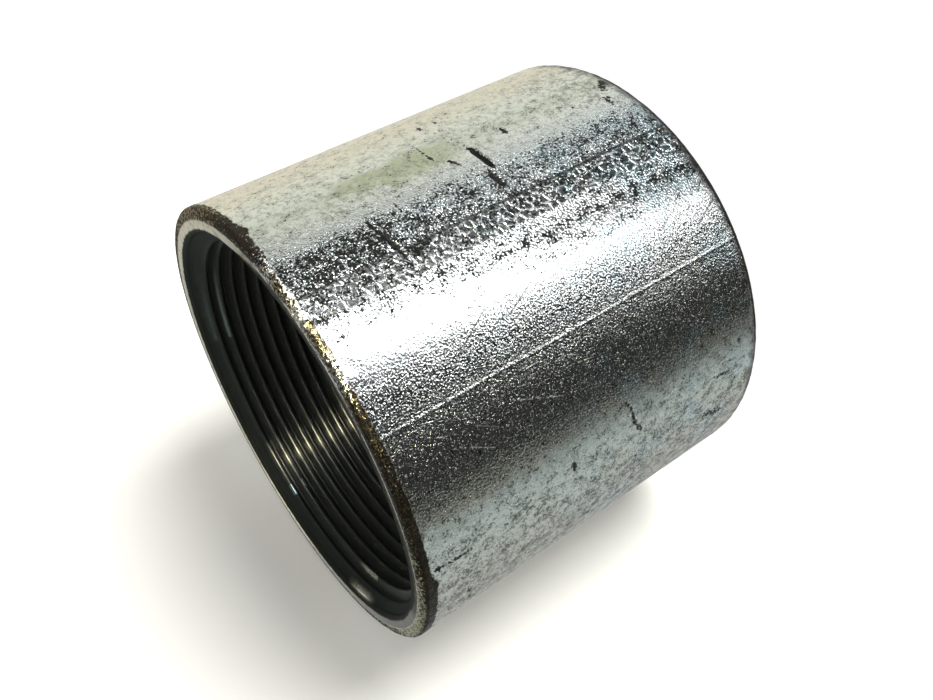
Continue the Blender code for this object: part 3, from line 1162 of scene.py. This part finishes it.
    def relief(self) -> Value:
        """The grain, whose height changes round the sleeve, the cells' rims and the corner, in millimetres."""
        grain = self.noise(self.coat.grains) * 0.17 + self.noise(self.coat.peaks).rise(0.62, 0.78) * 0.05
        height = grain * self.wall.by_angle(self.coat.grain_height, self.sway * 0.5)
        return height + self.strip * self.rim * 0.12 - self.band * 0.10 + self.band * self.coarse * 0.25

    def build(self) -> bpy.types.Material:
        """Joins the shader and returns the material."""
        self.graph.surface(self.graph.node("ShaderNodeBsdfPrincipled", {}, {
            "Base Color": self.colour(),
            "Roughness": self.roughness(),
            "Metallic": 1.0,
            "Normal": self.graph.bump(self.relief())}))
        return self.made


@dataclass(frozen=True)
class MachinedSteel:
    """The machined end rings, and the bore: dark oily metal under a dark matt layer of painted shade, with bare patches
    on crests and mouth that are placed and tinted as painted glints.
    """

    ring_dark: Colour = (0.06, 0.055, 0.04)
    # Near-black of the mouths: painted shade in each mouth and its plain land.
    mouth: Colour = (0.012, 0.012, 0.011)
    # Cream and teal of the bare patches, tinted as the glints that they paint.
    worn_glint: Colour = (1.0, 0.97, 0.78)
    cold_glint: Colour = (0.55, 0.72, 0.76)
    # Colour of the dark matt layer: painted shade over the bore.
    shade_layer: Colour = (0.024, 0.028, 0.025)
    bore: Colour = (0.034, 0.038, 0.034)
    blotches: Pattern = Pattern(1.6 * MM, 4.0, 0.65)
    fines: Pattern = Pattern(0.4 * MM, 2.0, 0.6)
    tool_marks: Pattern = Pattern(1.0, 3.0, 0.7)
    worn_glint_warp: Pair = (0.08, 1.0 * MM)
    # End ring colours round the sleeve; the bright cream on the far lip is a painted glint.
    ring: Stops = (
        (-180.0, (0.66, 0.62, 0.43)), (-168.0, (1.00, 0.94, 0.62)), (-150.0, (0.90, 0.85, 0.58)),
        (-138.0, (0.42, 0.40, 0.28)), (-100.0, (0.14, 0.14, 0.10)), (-60.0, (0.10, 0.10, 0.08)),
        (-40.0, (0.06, 0.06, 0.04)), (30.0, (0.06, 0.06, 0.04)), (44.0, (0.50, 0.48, 0.36)),
        (70.0, (0.75, 0.72, 0.54)), (110.0, (0.70, 0.67, 0.50)), (180.0, (0.62, 0.58, 0.40)))
    # How far down the painted mouth shade reaches round the sleeve, in shares of 3 mm.
    mouth_shade_reach: Stops = (
        (-180.0, 0.83), (-120.0, 0.85), (-90.0, 1.05), (90.0, 1.05), (120.0, 0.90), (180.0, 0.83))

    def wear_and_glints(self, wall: WallPlace, inside: Value, near_end: Value) -> Value:
        """Bare patches on the bore's crests and mouth, rubbed but placed and tinted where glints show, so partly
        painted glints, each faded towards its ends.

        Args:
            wall: the place on the sleeve.
            inside: 1 in the bore and its mouths.
            near_end: millimetres from the nearer end.

        Returns:
            How strong each patch is, from 0 to 1.
        """
        marks = wall.strongest(WORN_GLINTS, wall.unrolled(*self.worn_glint_warp))
        side = wall.angle.rise(96.0, 140.0) * wall.angle.rise(144.0, 138.0)
        fade = side.at_least(wall.angle.near(-114.0, 1.0, 9.0), wall.angle.near(-165.0, 22.0, 10.0))
        crests = wall.radius.rise(43.6, 42.6).at_least(near_end.rise(3.4, 3.0))
        return marks * inside * fade * crests

    def material(self, form: Form) -> bpy.types.Material:
        """Builds the material.

        Args:
            form: the sleeve's section.

        Returns:
            The material.
        """
        made, graph = new_material("machined_steel")
        wall = WallPlace(graph, form)
        medium = graph.noise(wall.point, self.blotches)
        near_end = wall.depth.at_most(wall.height)
        front = wall.angle.near(-10.0, 45.0, 15.0)
        inside = (front - wall.radius + (medium - 0.5) * 0.8 + 46.2).rise(-0.2, 0.3)
        oiled = inside * (near_end - wall.by_angle(self.mouth_shade_reach) * 3.0).rise(-0.3, 0.3)
        worn_glint = self.wear_and_glints(wall, inside, near_end)

        rim = (wall.from_rim(near_end) + (medium - 0.5) * 0.8).rise(-2.7, -2.3)
        # The ring's colour by angle, with its painted glint on the far lip.
        colour = graph.mix((medium.rise(0.50, 0.68) * 0.6).at_least(rim), wall.by_angle(self.ring), self.ring_dark)
        # Painted shade: each mouth is near-black down to where the oiled thread starts.
        colour = graph.mix(inside, colour, self.mouth)
        colour = graph.mix(oiled, colour, self.bore)
        cold_glint_side = wall.angle.rise(50.0, 60.0).at_least(wall.angle.near(-161.0, 3.0, 2.0))
        # Painted glints: bare patches in cream, or teal on one side and at one spot.
        colour = graph.mix(worn_glint, colour, graph.mix(cold_glint_side, self.worn_glint, self.cold_glint))

        tool_place = graph.node("ShaderNodeCombineXYZ", {}, {
            0: wall.radius * 5.0, 1: wall.depth * 5.0, 2: wall.angle * 0.01})
        turning = graph.noise(tool_place.outputs[0], self.tool_marks)
        height = graph.noise(wall.point, self.fines) * 0.015 + turning * 0.02 + medium * 0.03 * (1.0 - inside)
        shader = graph.node("ShaderNodeBsdfPrincipled", {}, {
            "Base Color": colour,
            "Roughness": 0.30 + front * (1.0 - inside) * 0.3 + inside * 0.10 + medium * 0.06 - worn_glint * 0.24,
            "Metallic": (1.0 - oiled * 0.7).at_least(worn_glint),
            "Coat Weight": oiled * (wall.angle.near(-172.0, 8.0, 8.0) * 0.5 + 0.1),
            "Coat Roughness": 0.16,
            "Normal": graph.bump(height)})
        glint = wall.angle.near(-172.0, 4.5, 6.0) * near_end.rise(1.8, 3.0)
        # Painted shade: a dark matt layer over the bore, strongest by the mouths, left off the bare patches and the
        # glint chain.
        shade_layer_share = inside * (1.0 - worn_glint) * (1.0 - glint) * (near_end.rise(5.0, 3.5) * 0.35 + 0.5)
        shade_layer = graph.node("ShaderNodeBsdfDiffuse", {}, {"Color": self.shade_layer})
        graph.surface(graph.blend(shade_layer_share, shader, shade_layer))
        return made


@dataclass
class Studio:
    """The floor, the card, the tent of light that only the metal mirrors, the lamp and the world."""

    tent_size: float = 2.5
    tent_grid: Tuple[int, int] = (48, 96)
    floor_size: float = 3.0
    floor_gap: float = 0.2 * MM
    floor_glow: float = 0.85
    floor_colour: Colour = (0.92, 0.92, 0.91)
    card_angle: float = -144.0
    card_gap: float = 0.3 * MM
    card_glow: float = 0.10
    card_colour: Colour = (0.94, 0.925, 0.86)
    paper_white: float = 1.15
    world_seen: float = 1.0
    world_light: float = 0.55
    soft_lamp_side: Tuple[float, float, float] = (0.45, -0.80, -0.30)
    soft_lamp_distance: float = 1.1
    soft_lamp_size: float = 0.7
    soft_lamp_watts: float = 20.0
    panel_slant: float = 0.60
    lamp_slants: Pair = (0.87, 1.5)
    lamp_edges: Pair = (13.0, 37.0)
    lamp: float = 6.0
    upper_lamp: float = 3.5
    bore_lamp: float = 80.0
    bore_tint: Colour = (1.0, 0.92, 0.58)
    panels: Stops = (
        (-180.0, 0.85), (-140.0, 0.60), (-90.0, 0.72), (-76.0, 0.56), (-66.0, 0.05), (-28.0, 0.035),
        (-18.0, 0.06), (-6.0, 0.13), (6.0, 0.30), (24.0, 0.45), (34.0, 0.45), (44.0, 0.12), (56.0, 0.06),
        (70.0, 0.50), (86.0, 0.90), (104.0, 1.00), (180.0, 0.80))

    def tent(self) -> bpy.types.Object:
        """A sphere of light seen only in reflections: points (cos v sin u, -cos v cos u, sin v) times its size."""
        rows, columns = self.tent_grid
        turn = np.linspace(-np.pi, np.pi, columns + 1)[None, :-1]
        lift = np.linspace(-np.pi / 2.0, np.pi / 2.0, rows + 1)[1:-1, None]
        grid = turned(np.cos(lift), turn, np.sin(lift)) * self.tent_size
        points = np.concatenate([grid.reshape(-1, 3), [[0.0, 0.0, -self.tent_size], [0.0, 0.0, self.tent_size]]])
        ids = np.arange(len(points) - 2).reshape(grid.shape[:2])
        right = np.roll(ids, -1, axis=1)
        south, north = np.full((2, columns), [[len(points) - 2], [len(points) - 1]])
        caps = np.concatenate([
            np.stack([south, right[0], ids[0]], axis=-1), np.stack([ids[-1], right[-1], north], axis=-1)])
        mesh = bpy.data.meshes.new("tent")
        mesh.from_pydata(points.tolist(), [], ring_quads(ids).tolist() + caps.tolist())
        mesh.update()
        mesh.materials.append(self.tent_material())
        item = new_object("tent", mesh)
        item.visible_camera = item.visible_diffuse = item.visible_shadow = item.visible_transmission = False
        return item

    def tent_material(self) -> bpy.types.Material:
        """Light of the tent: grey panels side by side, dimmer low down, in front and high up, and three lamps.

        Between 3 degrees below the horizon and 43 degrees below it the panels lean: their place is the azimuth plus
        the slant times the angle below 15 degrees. The front lamp's two edges lean by different amounts, so it
        narrows downwards, and it ends just above the horizon. The upper lamp is mirrored by faces that lean back,
        and the small warm one makes the chain of glints in the bore.

        Returns:
            The material.
        """
        made, graph = new_material("tent_light")
        azimuth, flat, height = graph.round_place(graph.node("ShaderNodeTexCoord").outputs["Object"])
        lift = graph.math("ARCTAN2", height, flat) * DEGREES
        below = ((lift + 15.0) * -1.0).at_least(-12.0).at_most(28.0)
        turn = azimuth + below * self.panel_slant * (azimuth.rise(-60.0, -15.0) * 0.6 + 0.4)
        low = lift.rise(-80.0, -55.0) * 0.75 + 0.25
        front = azimuth.near(0.0, 75.0, 30.0) * lift.rise(2.0, 18.0)
        dome = (lift - abs(azimuth).rise(148.0, 164.0) * 14.0).rise(3.0, 16.0)
        panels = graph.round_ramp(self.panels, turn) * low * (1.0 - front * 0.95) * (1.0 - dome * 0.85)

        start, end = self.lamp_edges
        start_slant, end_slant = self.lamp_slants
        soft = 3.0
        lamp = (azimuth + below * start_slant).rise(start - soft, start + soft) * (
            azimuth + below * end_slant).rise(end + soft, end - soft) * lift.rise(8.0, 2.0)
        upper = azimuth.near(30.0, 18.0, 6.0) * lift.near(36.0, 24.0, 8.0)
        bore = azimuth.near(14.0, 4.0, 2.0) * lift.near(46.0, 12.0, 6.0) * self.bore_lamp
        graph.surface(graph.node("ShaderNodeEmission", {}, {
            "Color": graph.mix(bore.at_most(1.0), WHITE, self.bore_tint),
            "Strength": panels + (lamp * self.lamp + upper * self.upper_lamp + bore)}))
        return made

    def seen(self, graph: Graph) -> Value:
        """1 for the rays that show the background, straight or in a mirror or glass, and 0 for the others."""
        path = graph.node("ShaderNodeLightPath")
        camera, glossy, glass = (
            graph.out(path, name) for name in ("Is Camera Ray", "Is Glossy Ray", "Is Transmission Ray"))
        return camera.at_least(glossy, glass)

    def paper(self, name: str, colour: Colour, glow: float) -> bpy.types.Material:
        """Matt paper that keeps shadows, with a share of plain white, and that can't be seen from behind.

        Args:
            name: the material's name.
            colour: the paper's colour.
            glow: the share of plain white in the background's rays.

        Returns:
            The material.
        """
        made, graph = new_material(name)
        matt = graph.node("ShaderNodeBsdfDiffuse", {}, {"Color": colour})
        white = graph.node("ShaderNodeEmission", {}, {"Color": WHITE, "Strength": self.paper_white})
        face = graph.blend(self.seen(graph) * glow, matt, white)
        behind = graph.out(graph.node("ShaderNodeNewGeometry"), "Backfacing")
        graph.surface(graph.blend(behind, face, graph.node("ShaderNodeBsdfTransparent")))
        return made

    def sheet(self, name: str, corners: Sequence[Vector], paper: bpy.types.Material) -> bpy.types.Object:
        """A flat sheet that the metal doesn't mirror and that casts no shadow.

        Args:
            name: the object's name.
            corners: its four corners, anticlockwise as seen from its front.
            paper: its material.

        Returns:
            The sheet.
        """
        mesh = bpy.data.meshes.new(name)
        mesh.from_pydata([tuple(corner) for corner in corners], [], [(0, 1, 2, 3)])
        mesh.materials.append(paper)
        item = new_object(name, mesh)
        item.visible_glossy = item.visible_shadow = False
        return item

    def floor(self) -> bpy.types.Object:
        """A flat square just under the sleeve's lower end."""
        half = self.floor_size
        corners = [Vector((x * half, y * half, -self.floor_gap)) for x, y in ((-1, -1), (1, -1), (1, 1), (-1, 1))]
        return self.sheet("floor", corners, self.paper("floor_paper", self.floor_colour, self.floor_glow))

    def card(self, radius: float) -> bpy.types.Object:
        """A sheet that stands on the floor behind the sleeve, touches its wall along one line and holds its shadow.

        Args:
            radius: the sleeve's outer radius.

        Returns:
            The sheet.
        """
        turn = math.radians(self.card_angle)
        away = Vector((math.sin(turn), -math.cos(turn), 0.0))
        foot = away * (radius + self.card_gap) - Vector((0.0, 0.0, self.floor_gap))
        side = Vector((0.0, 0.0, 1.0)).cross(away) * (self.floor_size / 2.0)
        up = Vector((0.0, 0.0, self.floor_size / 2.0))
        corners = [foot + side, foot - side, foot - side + up, foot + side + up]
        return self.sheet("card", corners, self.paper("card_paper", self.card_colour, self.card_glow))

    def lamps(self) -> None:
        """One broad soft lamp, which throws the sleeve's shadow on the card, past the upper end."""
        light = bpy.data.lights.new("soft_lamp", "AREA")
        light.shape = "DISK"
        light.size = self.soft_lamp_size
        light.energy = self.soft_lamp_watts
        item = new_object("soft_lamp", light)
        item.location = Vector(self.soft_lamp_side).normalized() * self.soft_lamp_distance
        item.rotation_euler = Vector(item.location).to_track_quat("Z", "Y").to_euler()
        item.visible_glossy = False

    def world(self) -> None:
        """A plain white world, which lights softly and is seen as white."""
        world = bpy.data.worlds.new("studio")
        bpy.context.scene.world = world
        world.use_nodes = True
        graph = Graph(world.node_tree)
        strength = self.seen(graph) * (self.world_seen - self.world_light) + self.world_light
        sky = graph.node("ShaderNodeBackground", {}, {"Color": WHITE, "Strength": strength})
        graph.node("ShaderNodeOutputWorld", {}, {"Surface": sky.outputs[0]})

    def build(self, radius: float) -> None:
        """Makes the studio round a sleeve of the given outer radius."""
        self.world()
        self.lamps()
        self.floor()
        self.card(radius)
        self.tent()


@dataclass
class PhotoCamera:
    """The camera at the photograph's viewing angle, solved from the sleeve's outline."""

    form: Form
    distance: float = 4.2508
    elevation: float = math.radians(24.107)
    roll: float = math.radians(-118.464)
    pan: float = math.radians(0.561)
    tilt: float = math.radians(0.677)
    focal_pixels: float = 926.1
    sensor: float = 36.0
    clip_start: float = 0.01

    def build(self) -> bpy.types.Object:
        """Places the camera.

        Its distance is in outer radii from the middle of the sleeve. The rows of the rotation are the camera's own
        axes: they look at the middle from the elevation, are rolled, and are then panned and tilted a little.

        Returns:
            The camera.
        """
        rise, roll, pan, tilt = self.elevation, self.roll, self.pan, self.tilt
        back = np.array([0.0, -math.cos(rise), math.sin(rise)])
        right = np.array([1.0, 0.0, 0.0])
        up = np.cross(back, right)
        rows = np.array([math.cos(roll) * right + math.sin(roll) * up,
                         -math.sin(roll) * right + math.cos(roll) * up,
                         back])
        panned = np.array([[math.cos(pan), 0.0, math.sin(pan)],
                           [0.0, 1.0, 0.0],
                           [-math.sin(pan), 0.0, math.cos(pan)]])
        tilted = np.array([[1.0, 0.0, 0.0],
                           [0.0, math.cos(tilt), -math.sin(tilt)],
                           [0.0, math.sin(tilt), math.cos(tilt)]])
        rows = tilted @ panned @ rows
        middle = np.array([0.0, 0.0, self.form.length / 2.0])
        place = middle + back * self.distance * self.form.outer_radius
        camera = bpy.data.cameras.new("photo_camera")
        camera.sensor_width = self.sensor
        camera.lens = self.focal_pixels * self.sensor / IMAGE_WIDTH
        camera.clip_start = self.clip_start
        item = new_object("photo_camera", camera)
        item.matrix_world = Matrix.Translation(Vector(place)) @ Matrix(rows.T.tolist()).to_4x4()
        bpy.context.scene.camera = item
        return item


def main() -> None:
    """Builds the scene and logs the sleeve's vertex and face counts."""
    logging.basicConfig(level=logging.INFO, format="%(name)s: %(message)s")
    low, high = CAD_BOX
    form = Form(outer_radius=(high[0] - low[0]) / 2.0, length=high[2] - low[2])
    PhotoCamera(form).build()
    Studio().build(form.outer_radius)
    sleeve = Sleeve(form).build()
    LOG.info("%s: %d vertices, %d faces", sleeve.name, len(sleeve.data.vertices), len(sleeve.data.polygons))
    bpy.context.scene.view_settings.view_transform = "Standard"


if __name__ == "__main__":
    main()
